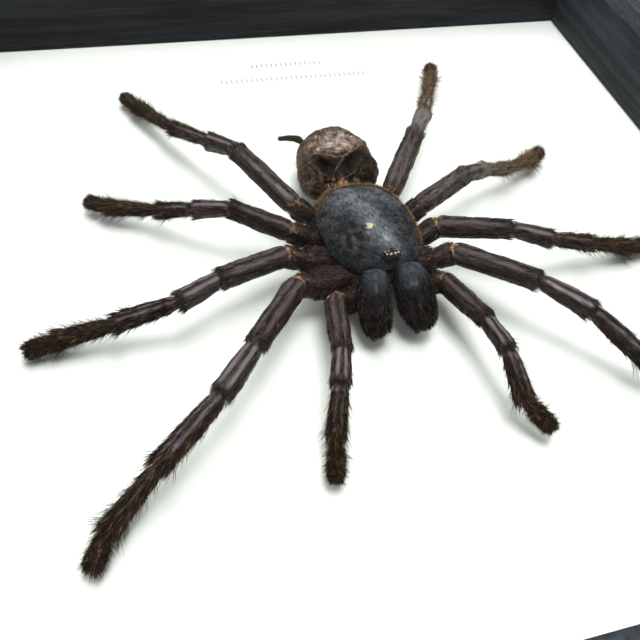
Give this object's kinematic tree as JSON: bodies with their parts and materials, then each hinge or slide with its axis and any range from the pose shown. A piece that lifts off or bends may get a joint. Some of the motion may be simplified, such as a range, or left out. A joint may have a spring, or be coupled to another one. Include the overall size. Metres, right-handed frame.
{
  "type": "framed tarantula specimen",
  "caption": "Dried tarantula spread on a white board in a shallow black box frame under clear glass, seen as it lies on its back.",
  "frame": {"origin": "middle of the frame's back, on the plane that the frame lies on", "axes": "+Z out through the glass, -Y towards the spider's head, +X towards the spider's left side"},
  "size_m": [0.164, 0.164, 0.025],
  "materials": {
    "black_rail": "black stained wood rail, satin, faint fibrous grain",
    "white_board": "matte white mount board with two small ruled grey rows",
    "brown_panel": "brown hardboard back",
    "clear_glass": "clear picture glass",
    "slate_cuticle": "slate-black velvety cuticle with a soft blue-grey sheen",
    "brown_cuticle": "dark brown dried cuticle, glossy in bald stripes, with brown hair",
    "dried_skin": "wrinkled brown dried skin with a copper bloom",
    "fang_black": "polished black fang",
    "dried_glue": "dried clear-yellow glue"
  },
  "bodies": {
    "root": {"rail_label_end": "black_rail", "rail_right": "black_rail", "rail_head_end": "black_rail", "rail_left": "black_rail", "back_panel": "brown_panel", "mount_board": "white_board", "glass_pane": "clear_glass", "cephalothorax": "slate_cuticle", "abdomen": "dried_skin", "chelicera_right": "slate_cuticle", "chelicera_left": "slate_cuticle", "fang_right": "fang_black", "fang_left": "fang_black", "spinneret_right": "dried_skin", "spinneret_left": "dried_skin", "glue_dab": "dried_glue", "leg_1_right": "brown_cuticle", "leg_2_right": "brown_cuticle", "leg_3_right": "brown_cuticle", "leg_4_right": "brown_cuticle", "pedipalp_right": "brown_cuticle", "leg_1_left": "brown_cuticle", "leg_2_left": "brown_cuticle", "leg_3_left": "brown_cuticle", "leg_4_left": "brown_cuticle", "pedipalp_left": "brown_cuticle"}
  },
  "joints": []
}
